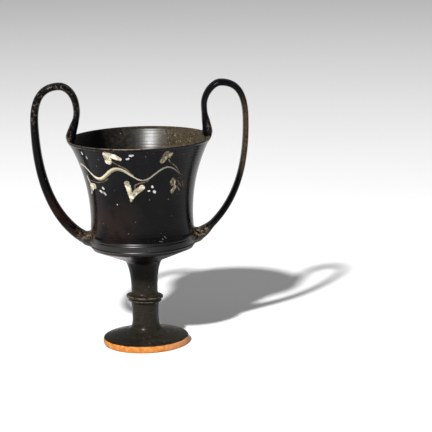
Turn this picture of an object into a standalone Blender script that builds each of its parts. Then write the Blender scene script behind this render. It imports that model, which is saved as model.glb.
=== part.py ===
# Stemmed drinking cup with two high looped handles, fired as one piece of clay.
# Metres, +Z up. The cup's axis is the Z axis, the foot stands on z = 0 and the handles lie along X.

import bmesh
import bpy
import math
from mathutils import Vector

# Foot
FOOT_RADIUS = 0.03945
FOOT_BAND_HEIGHT = 0.0070
FOOT_BAND_ROUND = 0.0013
REST_RING_OUTER = 0.0374
REST_RING_INNER = 0.0300
FOOT_HOLLOW_HEIGHT = 0.0085
FOOT_HOLLOW_TOP_RADIUS = 0.0100
FOOT_HOLLOW_LIP = 0.0020
FOOT_HOLLOW_LIP_HEIGHT = 0.0016
FOOT_SLOPE_RADIUS = 0.0290
FOOT_SLOPE_SAG = 0.0003
FOOT_TOP_HEIGHT = 0.0130
FOOT_TOP_RADIUS = 0.0165
FOOT_TOP_REACH = 0.0030
FOOT_TOP_RISE = 0.0012

# Stem and its moulded ring
LOWER_STEM_HEIGHT = 0.0240
LOWER_STEM_RADIUS = 0.0120
LOWER_STEM_REACH = 0.0060
LOWER_STEM_SWELL = 0.0001
RING_SEAT_HEIGHT = 0.0402
RING_SEAT_RADIUS = 0.0128
LOWER_RIDGE_HEIGHT = 0.0421
LOWER_RIDGE_RADIUS = 0.0153
RING_CREASE_HEIGHT = 0.0436
RING_CREASE_RADIUS = 0.0144
UPPER_RIDGE_HEIGHT = 0.0456
UPPER_RIDGE_RADIUS = 0.0167
RIDGE_HALF_HEIGHT = 0.0009
RIDGE_ROUND = 0.0006
RING_SHOULDER_HEIGHT = 0.0486
RING_SHOULDER_RADIUS = 0.0133
STEM_WAIST_HEIGHT = 0.0520
STEM_WAIST_RADIUS = 0.01205
STEM_WAIST_REACH = 0.0085
STEM_TOP_HEIGHT = 0.0760
STEM_TOP_RADIUS = 0.0157
STEM_TOP_LEAN = 0.0026
STEM_TOP_REACH = 0.0060

# Underside of the bowl
STEM_SPREAD = 0.0007
STEM_SPREAD_RISE = 0.0018
UNDERSIDE_INNER_HEIGHT = 0.0800
UNDERSIDE_INNER_RADIUS = 0.0200
UNDERSIDE_INNER_LEAD = 0.0022
UNDERSIDE_INNER_LEAD_DROP = 0.0009
UNDERSIDE_OUTER_HEIGHT = 0.0915
UNDERSIDE_OUTER_RADIUS = 0.0470

# Outside of the bowl wall
KEEL_HEIGHT = 0.0947
KEEL_RADIUS = 0.0486
KEEL_UNDERCUT_HEIGHT = 0.0937
KEEL_UNDERCUT_RADIUS = 0.0478
KEEL_ROUND_HEIGHT = 0.0018
GROOVE_HEIGHT = 0.1026
GROOVE_WIDTH = 0.0018
GROOVE_DEPTH = 0.0005
BASE_WALL_RADIUS = 0.0483
WAIST_HEIGHT = 0.1180
WAIST_RADIUS = 0.04665
LIP_HEIGHT = 0.1919
LIP_RADIUS = 0.0655
LIP_BEAD_HEIGHT = 0.0024
LIP_BEAD_OVERHANG = 0.0009
LIP_BEAD_ROUND = 0.0002
LIP_EDGE_ROUND = 0.0008
LIP_TOP_INSET = 0.0019
LIP_TOP_DROP = 0.0001
LIP_INNER_DROP = 0.0013
WALL_FLARE_POWER = 2.15

# Inside of the bowl
WALL_AT_LIP = 0.0027
WALL_AT_FLOOR = 0.0038
INNER_WALL_END = 0.0985
INNER_WALL_REACH = 0.0034
FLOOR_EDGE_RADIUS = 0.0390
FLOOR_EDGE_HEIGHT = 0.0935
FLOOR_EDGE_REACH = 0.0030
FLOOR_EDGE_LIFT = 0.0009
FLOOR_MIDDLE_RADIUS = 0.0090
FLOOR_MIDDLE_HEIGHT = 0.0828
FLOOR_MIDDLE_DIP = 0.0008

# Handles: straps of clay with rounded edges. Their ends are set into the wall below the lip and
# above the keel, and their bends are placed outward of the lip and above it.
HANDLE_SECTION_POINTS = 12
HANDLE_SECTION_SQUARENESS = 2.4
LIP_END_INSET = 0.0037
LIP_END_DROP = 0.0057
LIP_END_LEAN = 0.0009
LIP_END_THICKNESS = 0.0030
LIP_END_WIDTH = 0.0143
KNUCKLE_RISE = 0.0063
KNUCKLE_THICKNESS = 0.0096
KNUCKLE_WIDTH = 0.0190
STRAP_WIDTH = 0.0150
HEEL_OUT = 0.0117
HEEL_RISE = 0.0119
HEEL_ANGLE = math.radians(41.0)
HEEL_REACH = 0.0055
HEEL_WIDTH = 0.0165
ROOT_END_INSET = 0.0018
ROOT_END_RISE = 0.0050
ROOT_ANGLE = math.radians(10.0)
ROOT_END_THICKNESS = 0.0162
ROOT_THICKNESS = 0.0134
ROOT_END_WIDTH = 0.0330
ROOT_WIDTH = 0.0260
ROOT_LENGTH = 0.0035
SPLAY_THICKNESS = 0.0104
SPLAY_WIDTH = 0.0195
SPLAY_LENGTH = 0.0078
LIMB_TAPER_LENGTH = 0.0250
LIMB_MIDDLE_LENGTH = 0.0600

# Each handle was bent by hand, so each has its own sizes.
LEFT_HANDLE = {
    "side": -1.0,
    "neck_out": -0.0103,
    "neck_rise": 0.0251,
    "crown_out": 0.0048,
    "crown_rise": 0.0483,
    "shoulder_out": 0.0281,
    "shoulder_rise": 0.0151,
    "neck_thickness": 0.0060,
    "crown_thickness": 0.0066,
    "shoulder_thickness": 0.0074,
    "limb_thickness": 0.0100,
    "lip_reach": 0.0130,
    "neck_reach_down": 0.0110,
    "neck_reach_up": 0.0160,
    "crown_reach_in": 0.0066,
    "crown_reach_out": 0.0170,
    "shoulder_reach_up": 0.0200,
    "shoulder_reach_down": 0.0440,
    "heel_reach": 0.0310,
}
RIGHT_HANDLE = {
    "side": 1.0,
    "neck_out": -0.0062,
    "neck_rise": 0.0271,
    "crown_out": 0.0090,
    "crown_rise": 0.0475,
    "shoulder_out": 0.0311,
    "shoulder_rise": 0.0141,
    "neck_thickness": 0.0056,
    "crown_thickness": 0.0062,
    "shoulder_thickness": 0.0054,
    "limb_thickness": 0.0058,
    "lip_reach": 0.0150,
    "neck_reach_down": 0.0140,
    "neck_reach_up": 0.0112,
    "crown_reach_in": 0.0060,
    "crown_reach_out": 0.0150,
    "shoulder_reach_up": 0.0230,
    "shoulder_reach_down": 0.0460,
    "heel_reach": 0.0330,
}

# Facets
TURN_SEGMENTS = 58
WALL_STEPS = 10
INNER_WALL_STEPS = 7
LIMB_STEPS = 13
HEEL_STEPS = 5
ARCH_STEPS = 7
NECK_STEPS = 8

CLAY_COLOUR = (0.020, 0.018, 0.016, 1.0)
CLAY_ROUGHNESS = 0.28


def clear_scene():
    for old in list(bpy.data.objects):
        bpy.data.objects.remove(old, do_unlink=True)


def bezier(start, lead, trail, end, steps):
    """Points after the start, up to and with the end, of a cubic curve in (radius, height)."""
    points = []
    for k in range(1, steps + 1):
        t = k / steps
        s = 1.0 - t
        weights = (s * s * s, 3 * s * s * t, 3 * s * t * t, t * t * t)
        corners = (start, lead, trail, end)
        radius = sum(w * c[0] for w, c in zip(weights, corners))
        height = sum(w * c[1] for w, c in zip(weights, corners))
        points.append((radius, height))
    return points


def wall_radius(height):
    """Outside of the bowl wall: narrowest at the waist, spreading to the lip and a little to the base."""
    if height >= WAIST_HEIGHT:
        rise = (height - WAIST_HEIGHT) / (LIP_HEIGHT - WAIST_HEIGHT)
        spread = LIP_RADIUS - LIP_BEAD_OVERHANG * 0.5 - WAIST_RADIUS
        return WAIST_RADIUS + spread * rise ** WALL_FLARE_POWER
    drop = (WAIST_HEIGHT - height) / (WAIST_HEIGHT - GROOVE_HEIGHT)
    return WAIST_RADIUS + (BASE_WALL_RADIUS - WAIST_RADIUS) * min(1.0, drop) ** 2


def wall_thickness(height):
    share = (height - INNER_WALL_END) / (LIP_HEIGHT - INNER_WALL_END)
    return WALL_AT_FLOOR + (WALL_AT_LIP - WALL_AT_FLOOR) * share


def foot_profile():
    """From the middle of the hollow under the foot, out round its edge, and up to the stem."""
    band = [
        (REST_RING_OUTER, 0.0),
        (FOOT_RADIUS - FOOT_BAND_ROUND * 0.5, FOOT_BAND_HEIGHT * 0.2),
        (FOOT_RADIUS, FOOT_BAND_HEIGHT * 0.5),
        (FOOT_RADIUS - FOOT_BAND_ROUND * 0.3, FOOT_BAND_HEIGHT * 0.84),
        (FOOT_RADIUS - FOOT_BAND_ROUND, FOOT_BAND_HEIGHT),
    ]
    hollow = [
        (0.0, FOOT_HOLLOW_HEIGHT),
        (FOOT_HOLLOW_TOP_RADIUS, FOOT_HOLLOW_HEIGHT * 0.94),
        (REST_RING_INNER - FOOT_HOLLOW_LIP, FOOT_HOLLOW_LIP_HEIGHT),
        (REST_RING_INNER, 0.0),
    ]
    slope = [
        (FOOT_SLOPE_RADIUS, 0.5 * (FOOT_BAND_HEIGHT + FOOT_TOP_HEIGHT) - FOOT_SLOPE_SAG),
        (FOOT_TOP_RADIUS, FOOT_TOP_HEIGHT),
    ]
    rise = bezier(
        (FOOT_TOP_RADIUS, FOOT_TOP_HEIGHT),
        (FOOT_TOP_RADIUS - FOOT_TOP_REACH, FOOT_TOP_HEIGHT + FOOT_TOP_RISE),
        (LOWER_STEM_RADIUS + LOWER_STEM_SWELL, LOWER_STEM_HEIGHT - LOWER_STEM_REACH),
        (LOWER_STEM_RADIUS, LOWER_STEM_HEIGHT),
        5,
    )
    return hollow + band + slope + rise


def stem_profile():
    """From above the foot, over the two ridges of the ring, to the top of the stem."""
    return [
        (LOWER_STEM_RADIUS + LOWER_STEM_SWELL, 0.5 * (LOWER_STEM_HEIGHT + RING_SEAT_HEIGHT)),
        (RING_SEAT_RADIUS, RING_SEAT_HEIGHT),
        (LOWER_RIDGE_RADIUS - RIDGE_ROUND, LOWER_RIDGE_HEIGHT - RIDGE_HALF_HEIGHT),
        (LOWER_RIDGE_RADIUS, LOWER_RIDGE_HEIGHT),
        (RING_CREASE_RADIUS, RING_CREASE_HEIGHT),
        (UPPER_RIDGE_RADIUS - RIDGE_ROUND, UPPER_RIDGE_HEIGHT - RIDGE_HALF_HEIGHT),
        (UPPER_RIDGE_RADIUS, UPPER_RIDGE_HEIGHT),
        (UPPER_RIDGE_RADIUS - RIDGE_ROUND, UPPER_RIDGE_HEIGHT + RIDGE_HALF_HEIGHT),
        (RING_SHOULDER_RADIUS, RING_SHOULDER_HEIGHT),
        (STEM_WAIST_RADIUS, STEM_WAIST_HEIGHT),
    ] + bezier(
        (STEM_WAIST_RADIUS, STEM_WAIST_HEIGHT),
        (STEM_WAIST_RADIUS, STEM_WAIST_HEIGHT + STEM_WAIST_REACH),
        (STEM_TOP_RADIUS - STEM_TOP_LEAN, STEM_TOP_HEIGHT - STEM_TOP_REACH),
        (STEM_TOP_RADIUS, STEM_TOP_HEIGHT),
        6,
    )


def bowl_profile():
    """From the top of the stem, under the bowl, up the wall, over the lip and down inside."""
    points = bezier(
        (STEM_TOP_RADIUS, STEM_TOP_HEIGHT),
        (STEM_TOP_RADIUS + STEM_SPREAD, STEM_TOP_HEIGHT + STEM_SPREAD_RISE),
        (
            UNDERSIDE_INNER_RADIUS - UNDERSIDE_INNER_LEAD,
            UNDERSIDE_INNER_HEIGHT - UNDERSIDE_INNER_LEAD_DROP,
        ),
        (UNDERSIDE_INNER_RADIUS, UNDERSIDE_INNER_HEIGHT),
        3,
    )
    points += [
        (UNDERSIDE_OUTER_RADIUS, UNDERSIDE_OUTER_HEIGHT),
        (KEEL_UNDERCUT_RADIUS, KEEL_UNDERCUT_HEIGHT),
        (KEEL_RADIUS, KEEL_HEIGHT),
        (BASE_WALL_RADIUS, KEEL_HEIGHT + KEEL_ROUND_HEIGHT),
        (BASE_WALL_RADIUS, GROOVE_HEIGHT - 0.5 * GROOVE_WIDTH),
        (BASE_WALL_RADIUS - GROOVE_DEPTH, GROOVE_HEIGHT),
    ]
    wall_start = GROOVE_HEIGHT + 0.5 * GROOVE_WIDTH
    wall_end = LIP_HEIGHT - LIP_BEAD_HEIGHT
    for k in range(WALL_STEPS + 1):
        height = wall_start + (wall_end - wall_start) * k / WALL_STEPS
        points.append((wall_radius(height), height))
    points += [
        (LIP_RADIUS - LIP_BEAD_ROUND, LIP_HEIGHT - 0.75 * LIP_BEAD_HEIGHT),
        (LIP_RADIUS, LIP_HEIGHT - 0.4 * LIP_BEAD_HEIGHT),
        (LIP_RADIUS - LIP_EDGE_ROUND, LIP_HEIGHT),
        (LIP_RADIUS - LIP_TOP_INSET, LIP_HEIGHT - LIP_TOP_DROP),
    ]
    inner_start = LIP_HEIGHT - LIP_INNER_DROP
    for k in range(INNER_WALL_STEPS + 1):
        height = inner_start + (INNER_WALL_END - inner_start) * k / INNER_WALL_STEPS
        points.append((wall_radius(height) - wall_thickness(height), height))
    last = points[-1]
    points += bezier(
        last,
        (last[0], last[1] - INNER_WALL_REACH),
        (FLOOR_EDGE_RADIUS + FLOOR_EDGE_REACH, FLOOR_EDGE_HEIGHT + FLOOR_EDGE_LIFT),
        (FLOOR_EDGE_RADIUS, FLOOR_EDGE_HEIGHT),
        4,
    )
    points += [
        (FLOOR_MIDDLE_RADIUS, FLOOR_MIDDLE_HEIGHT),
        (0.0, FLOOR_MIDDLE_HEIGHT - FLOOR_MIDDLE_DIP),
    ]
    return points


def turned_body(profile):
    """Turns a profile, which starts and ends on the axis, into a closed solid."""
    mesh = bmesh.new()
    rings = []
    for radius, height in profile:
        if radius == 0.0:
            rings.append([mesh.verts.new((0.0, 0.0, height))])
            continue
        ring = []
        for k in range(TURN_SEGMENTS):
            angle = 2.0 * math.pi * (k + 0.5) / TURN_SEGMENTS
            ring.append(mesh.verts.new((radius * math.cos(angle), radius * math.sin(angle), height)))
        rings.append(ring)
    for lower, upper in zip(rings, rings[1:]):
        for k in range(TURN_SEGMENTS):
            following = (k + 1) % TURN_SEGMENTS
            if len(lower) == 1:
                mesh.faces.new((lower[0], upper[following], upper[k]))
            elif len(upper) == 1:
                mesh.faces.new((lower[k], lower[following], upper[0]))
            else:
                mesh.faces.new((lower[k], lower[following], upper[following], upper[k]))
    return mesh


def stepped(place, length, angle):
    """The point a given length away from a place, at an angle above the level."""
    return (place[0] + length * math.cos(angle), place[1] + length * math.sin(angle))


def handle_path(handle):
    """The middle line of a strap in (radius, height), from the lip, over the crown, to the low wall."""
    lip = (LIP_RADIUS - LIP_END_INSET, LIP_HEIGHT - LIP_END_DROP)
    neck = (LIP_RADIUS + handle["neck_out"], LIP_HEIGHT + handle["neck_rise"])
    crown = (LIP_RADIUS + handle["crown_out"], LIP_HEIGHT + handle["crown_rise"])
    shoulder = (LIP_RADIUS + handle["shoulder_out"], LIP_HEIGHT + handle["shoulder_rise"])
    root = (BASE_WALL_RADIUS - ROOT_END_INSET, KEEL_HEIGHT + ROOT_END_RISE)
    heel = (BASE_WALL_RADIUS + HEEL_OUT, KEEL_HEIGHT + HEEL_RISE)
    path = [lip]
    leave_lip = (lip[0] + LIP_END_LEAN, lip[1] + handle["lip_reach"])
    below_neck = (neck[0], neck[1] - handle["neck_reach_down"])
    above_neck = (neck[0], neck[1] + handle["neck_reach_up"])
    before_crown = (crown[0] - handle["crown_reach_in"], crown[1])
    after_crown = (crown[0] + handle["crown_reach_out"], crown[1])
    above_shoulder = (shoulder[0], shoulder[1] + handle["shoulder_reach_up"])
    below_shoulder = (shoulder[0], shoulder[1] - handle["shoulder_reach_down"])
    above_heel = stepped(heel, handle["heel_reach"], HEEL_ANGLE)
    below_heel = stepped(heel, -HEEL_REACH, HEEL_ANGLE)
    near_root = stepped(root, HEEL_REACH, ROOT_ANGLE)
    path += bezier(lip, leave_lip, below_neck, neck, NECK_STEPS)
    path += bezier(neck, above_neck, before_crown, crown, ARCH_STEPS)
    path += bezier(crown, after_crown, above_shoulder, shoulder, ARCH_STEPS)
    path += bezier(shoulder, below_shoulder, above_heel, heel, LIMB_STEPS)
    path += bezier(heel, below_heel, near_root, root, HEEL_STEPS)
    return path


def between(table, place):
    """Straight interpolation in a short table of (place, value) pairs."""
    for (a, low), (b, high) in zip(table, table[1:]):
        if place <= b:
            return low + (high - low) * (place - a) / (b - a)
    return table[-1][1]


def path_lengths(path):
    lengths = [0.0]
    for (r0, h0), (r1, h1) in zip(path, path[1:]):
        lengths.append(lengths[-1] + math.hypot(r1 - r0, h1 - h0))
    return lengths


def handle_sizes(handle, path):
    """Thickness and width of the strap at each point of its path."""
    along = path_lengths(path)
    whole = along[-1]
    knuckle = next(s for s, point in zip(along, path) if point[1] >= path[0][1] + KNUCKLE_RISE)
    neck = along[NECK_STEPS]
    crown = along[NECK_STEPS + ARCH_STEPS]
    shoulder = along[NECK_STEPS + 2 * ARCH_STEPS]
    below_neck = 0.5 * (KNUCKLE_THICKNESS + handle["neck_thickness"])
    mid_limb = 0.5 * (handle["shoulder_thickness"] + handle["limb_thickness"])
    heel = along[-1 - HEEL_STEPS]
    thickness = [
        (0.0, LIP_END_THICKNESS),
        (knuckle, KNUCKLE_THICKNESS),
        (knuckle + 0.4 * (neck - knuckle), below_neck),
        (knuckle + 0.75 * (neck - knuckle), handle["neck_thickness"]),
        (neck, handle["neck_thickness"]),
        (crown, handle["crown_thickness"]),
        (shoulder, handle["shoulder_thickness"]),
        (whole - LIMB_MIDDLE_LENGTH, mid_limb),
        (heel - HEEL_REACH, handle["limb_thickness"]),
        (whole - SPLAY_LENGTH, SPLAY_THICKNESS),
        (whole - ROOT_LENGTH, ROOT_THICKNESS),
        (whole, ROOT_END_THICKNESS),
    ]
    width = [
        (0.0, LIP_END_WIDTH),
        (knuckle, KNUCKLE_WIDTH),
        (neck, STRAP_WIDTH),
        (heel - LIMB_TAPER_LENGTH, STRAP_WIDTH),
        (heel, HEEL_WIDTH),
        (whole - SPLAY_LENGTH, SPLAY_WIDTH),
        (whole - ROOT_LENGTH, ROOT_WIDTH),
        (whole, ROOT_END_WIDTH),
    ]
    return [(between(thickness, s), between(width, s)) for s in along]


def section(index):
    """A point of the strap's rounded section, as shares of half its thickness and half its width."""
    angle = 2.0 * math.pi * index / HANDLE_SECTION_POINTS
    power = 2.0 / HANDLE_SECTION_SQUARENESS
    across = math.copysign(abs(math.cos(angle)) ** power, math.cos(angle))
    along = math.copysign(abs(math.sin(angle)) ** power, math.sin(angle))
    return across, along


def strap_handle(handle):
    """Sweeps the strap's section along its path and closes both ends."""
    path = handle_path(handle)
    sizes = handle_sizes(handle, path)
    mesh = bmesh.new()
    rings = []
    for k, (radius, height) in enumerate(path):
        before = path[max(0, k - 1)]
        after = path[min(len(path) - 1, k + 1)]
        heading = Vector((after[0] - before[0], after[1] - before[1])).normalized()
        thickness, width = sizes[k]
        ring = []
        for m in range(HANDLE_SECTION_POINTS):
            across, along = section(m)
            r = radius + heading[1] * across * thickness * 0.5
            z = height - heading[0] * across * thickness * 0.5
            ring.append(mesh.verts.new((handle["side"] * r, along * width * 0.5, z)))
        rings.append(ring)
    for lower, upper in zip(rings, rings[1:]):
        for m in range(HANDLE_SECTION_POINTS):
            following = (m + 1) % HANDLE_SECTION_POINTS
            mesh.faces.new((lower[m], lower[following], upper[following], upper[m]))
    mesh.faces.new(rings[0])
    mesh.faces.new(rings[-1])
    bmesh.ops.recalc_face_normals(mesh, faces=mesh.faces)
    return mesh


def as_object(mesh, name):
    bmesh.ops.recalc_face_normals(mesh, faces=mesh.faces)
    data = bpy.data.meshes.new(name)
    mesh.to_mesh(data)
    mesh.free()
    for face in data.polygons:
        face.use_smooth = True
    made = bpy.data.objects.new(name, data)
    bpy.context.scene.collection.objects.link(made)
    return made


def join_solid(base, added):
    """Unites a second solid with the base and removes the second."""
    union = base.modifiers.new("join_" + added.name, "BOOLEAN")
    union.operation = "UNION"
    union.solver = "EXACT"
    union.object = added
    graph = bpy.context.evaluated_depsgraph_get()
    joined = bpy.data.meshes.new_from_object(base.evaluated_get(graph))
    base.modifiers.clear()
    base.data = joined
    bpy.data.objects.remove(added, do_unlink=True)


def glazed_clay():
    material = bpy.data.materials.new("black_gloss")
    material.use_nodes = True
    shader = material.node_tree.nodes["Principled BSDF"]
    shader.inputs["Base Color"].default_value = CLAY_COLOUR
    shader.inputs["Roughness"].default_value = CLAY_ROUGHNESS
    shader.inputs["Metallic"].default_value = 0.0
    return material


clear_scene()
cup = as_object(turned_body(foot_profile() + stem_profile() + bowl_profile()), "kantharos")
join_solid(cup, as_object(strap_handle(LEFT_HANDLE), "left_handle"))
join_solid(cup, as_object(strap_handle(RIGHT_HANDLE), "right_handle"))
for face in cup.data.polygons:
    face.use_smooth = True
cup.data.materials.clear()
cup.data.materials.append(glazed_clay())
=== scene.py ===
# A black-gloss drinking cup with painted ivy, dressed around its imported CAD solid. Metres, +Z up.

import math

import bmesh
import bpy
from mathutils import Matrix, Vector
from mathutils.bvhtree import BVHTree
from mathutils.kdtree import KDTree


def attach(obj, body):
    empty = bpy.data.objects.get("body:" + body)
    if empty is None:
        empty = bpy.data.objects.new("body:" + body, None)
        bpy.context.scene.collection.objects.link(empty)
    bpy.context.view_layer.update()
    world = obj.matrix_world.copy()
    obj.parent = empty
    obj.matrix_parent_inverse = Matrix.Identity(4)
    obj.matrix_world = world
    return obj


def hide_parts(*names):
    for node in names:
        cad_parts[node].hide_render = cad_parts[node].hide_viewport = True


# Camera, as the photograph was taken
CAMERA_PLACE = (0.0, -1.56756, 0.44790)
CAMERA_RIGHT = (0.998477, -0.048527, -0.026238)
CAMERA_UP = (0.035674, 0.205174, 0.978075)
CAMERA_BACK = (-0.042080, -0.977522, 0.206593)
FOCAL_PIXELS = 1756.85
FRAME_PIXELS = 432
SENSOR_MM = 36.0

# Light
KEY_AZIMUTH = math.radians(-24.0)
KEY_ELEVATION = math.radians(40.0)
KEY_DISTANCE = 5.0
KEY_SIZE = 0.30
KEY_POWER = 440.0
FILL_POWER = 1.5
SKY_STRENGTH = 0.26

# Foot
FOOT_RADIUS = 0.03945
FOOT_BAND_HEIGHT = 0.0070
FOOT_BAND_ROUND = 0.0013
REST_RING_OUTER = 0.0374
REST_RING_INNER = 0.0300
REST_RING_EDGE = 0.0006
FOOT_HOLLOW_HEIGHT = 0.0085
FOOT_HOLLOW_TOP_RADIUS = 0.0100
FOOT_HOLLOW_LIP = 0.0020
FOOT_HOLLOW_LIP_HEIGHT = 0.0016
FOOT_SLOPE_RADIUS = 0.0290
FOOT_SLOPE_SAG = 0.0003
FOOT_TOP_HEIGHT = 0.0130
FOOT_TOP_RADIUS = 0.0165
FOOT_TOP_REACH = 0.0030
FOOT_TOP_RISE = 0.0012

# Stem and its moulded ring
LOWER_STEM_HEIGHT = 0.0240
LOWER_STEM_RADIUS = 0.0120
LOWER_STEM_REACH = 0.0060
LOWER_STEM_SWELL = 0.0001
RING_SEAT_HEIGHT = 0.0397
RING_SEAT_RADIUS = 0.0128
LOWER_RIDGE_HEIGHT = 0.0410
LOWER_RIDGE_RADIUS = 0.0153
RING_CREASE_HEIGHT = 0.0424
RING_CREASE_RADIUS = 0.0144
UPPER_RIDGE_HEIGHT = 0.0444
UPPER_RIDGE_RADIUS = 0.0170
RING_SHOULDER_HEIGHT = 0.0468
RING_SHOULDER_RADIUS = 0.0132
STEM_WAIST_HEIGHT = 0.0500
STEM_WAIST_RADIUS = 0.01205
STEM_WAIST_REACH = 0.0095
RING_TILT = 0.045
RING_TILT_STARTS = (0.033, 0.039)
RING_TILT_ENDS = (0.048, 0.058)
STEM_TOP_HEIGHT = 0.0760
STEM_TOP_RADIUS = 0.0157
STEM_TOP_LEAN = 0.0026
STEM_TOP_REACH = 0.0060

# Underside of the bowl
STEM_SPREAD = 0.0007
STEM_SPREAD_RISE = 0.0018
UNDERSIDE_INNER_HEIGHT = 0.0800
UNDERSIDE_INNER_RADIUS = 0.0200
UNDERSIDE_INNER_LEAD = 0.0022
UNDERSIDE_INNER_LEAD_DROP = 0.0009
UNDERSIDE_OUTER_HEIGHT = 0.0915
UNDERSIDE_OUTER_RADIUS = 0.0470

# Outside of the bowl wall. The shapes are steps in radius and height from the place they are named for.
KEEL_HEIGHT = 0.0947
KEEL_RADIUS = 0.0486
KEEL_UNDERCUT_HEIGHT = 0.0937
KEEL_UNDERCUT_RADIUS = 0.0478
GROOVE_HEIGHT = 0.1016
GROOVE_WIDTH = 0.0018
GROOVE_DEPTH = 0.0005
BASE_WALL_RADIUS = 0.0483
WAIST_HEIGHT = 0.1180
WAIST_RADIUS = 0.04665
UNDERCUT_SHAPE = ((0.0, -0.0003), (0.0002, 0.0001))
KEEL_SHAPE = ((-0.0001, -0.0003), (0.0, 0.0), (-0.0001, 0.0004), (-0.0005, 0.0010))
KEEL_TO_WALL_RISE = 0.0018
GROOVE_SHAPE = (
    (0.0, -0.0014),
    (-0.0001, -0.0010),
    (-GROOVE_DEPTH, -0.0002),
    (-GROOVE_DEPTH, 0.0002),
    (0.0, 0.0006),
    (-0.0001, 0.0009),
    (-0.0005, 0.0018),
)
GROOVE_TO_WALL_RISE = 0.0032
LIP_HEIGHT = 0.1919
LIP_RADIUS = 0.0655
LIP_BEAD_HEIGHT = 0.0024
LIP_BEAD_OVERHANG = 0.0009
WALL_FLARE_POWER = 2.15

# Inside of the bowl
WALL_AT_LIP = 0.0027
WALL_AT_FLOOR = 0.0038
INNER_WALL_END = 0.0985
INNER_WALL_REACH = 0.0034
FLOOR_EDGE_RADIUS = 0.0390
FLOOR_EDGE_HEIGHT = 0.0935
FLOOR_EDGE_REACH = 0.0030
FLOOR_EDGE_LIFT = 0.0009
FLOOR_MIDDLE_RADIUS = 0.0090
FLOOR_MIDDLE_HEIGHT = 0.0828
FLOOR_MIDDLE_DIP = 0.0008

# Handles: straps of clay with rounded edges. Their ends are set into the wall below the lip and
# above the keel, and their bends are placed outward of the lip and above it.
HANDLE_SECTION_POINTS = 32
HANDLE_SKIN = 0.00002
HANDLE_SECTION_SQUARENESS = 2.4
LIP_END_INSET = 0.0037
LIP_END_DROP = 0.0057
LIP_END_LEAN = 0.0009
LIP_END_THICKNESS = 0.0030
LIP_END_WIDTH = 0.0143
KNUCKLE_RISE = 0.0063
KNUCKLE_THICKNESS = 0.0096
KNUCKLE_WIDTH = 0.0190
STRAP_WIDTH = 0.0150
HEEL_OUT = 0.0117
HEEL_RISE = 0.0119
HEEL_ANGLE = math.radians(41.0)
HEEL_REACH = 0.0055
HEEL_WIDTH = 0.0165
ROOT_END_INSET = 0.0018
ROOT_END_RISE = 0.0050
ROOT_ANGLE = math.radians(10.0)
ROOT_END_THICKNESS = 0.0162
ROOT_THICKNESS = 0.0134
ROOT_END_WIDTH = 0.0330
ROOT_WIDTH = 0.0260
ROOT_LENGTH = 0.0035
SPLAY_THICKNESS = 0.0104
SPLAY_WIDTH = 0.0195
SPLAY_LENGTH = 0.0078
LIMB_TAPER_LENGTH = 0.0250
LIMB_MIDDLE_LENGTH = 0.0600

# Each handle was bent by hand, so each has its own sizes.
LEFT_HANDLE = {
    "side": -1.0,
    "neck_out": -0.0103,
    "neck_rise": 0.0251,
    "crown_out": 0.0048,
    "crown_rise": 0.0483,
    "shoulder_out": 0.0281,
    "shoulder_rise": 0.0151,
    "neck_thickness": 0.0060,
    "crown_thickness": 0.0066,
    "shoulder_thickness": 0.0074,
    "limb_thickness": 0.0100,
    "lip_reach": 0.0130,
    "neck_reach_down": 0.0110,
    "neck_reach_up": 0.0160,
    "crown_reach_in": 0.0066,
    "crown_reach_out": 0.0170,
    "shoulder_reach_up": 0.0200,
    "shoulder_reach_down": 0.0440,
    "heel_reach": 0.0310,
}
RIGHT_HANDLE = {
    "side": 1.0,
    "neck_out": -0.0062,
    "neck_rise": 0.0271,
    "crown_out": 0.0090,
    "crown_rise": 0.0475,
    "shoulder_out": 0.0311,
    "shoulder_rise": 0.0141,
    "neck_thickness": 0.0056,
    "crown_thickness": 0.0062,
    "shoulder_thickness": 0.0054,
    "limb_thickness": 0.0058,
    "lip_reach": 0.0150,
    "neck_reach_down": 0.0140,
    "neck_reach_up": 0.0112,
    "crown_reach_in": 0.0060,
    "crown_reach_out": 0.0150,
    "shoulder_reach_up": 0.0230,
    "shoulder_reach_down": 0.0460,
    "heel_reach": 0.0330,
}

# Painting. Strokes run from (degrees round, mm up, half width in mm) to the same.
PAINT_MM_PER_DEGREE = 0.94
VINE_HEIGHT = 167.2
VINE_SWING = 5.4
VINE_TROUGH = 2.2
VINE_PERIOD = 46.4
VINE_SLOPE = 2.0 * math.pi * VINE_SWING / VINE_PERIOD / PAINT_MM_PER_DEGREE
VINE_HALF_WIDTHS = (
    (-84.0, 0.2),
    (-72.0, 1.2),
    (-62.0, 0.7),
    (-51.0, 0.8),
    (-44.0, 1.5),
    (-26.0, 1.75),
    (-14.0, 1.2),
    (-6.0, 0.65),
    (3.0, 0.55),
    (14.0, 0.75),
    (26.0, 0.7),
    (36.0, 0.42),
    (48.0, 0.0),
)
VINE_TINTS = (
    (-84.0, (96, 90, 84)),
    (-68.0, (172, 165, 146)),
    (-55.0, (206, 199, 178)),
    (-38.0, (190, 181, 154)),
    (-20.0, (160, 152, 130)),
    (-8.0, (154, 147, 132)),
    (3.0, (132, 128, 120)),
    (24.0, (122, 116, 104)),
    (48.0, (78, 72, 66)),
)
PAINT_ORDER = ("stems", "grey", "vine", "olive", "cream", "pink", "dots")
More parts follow.
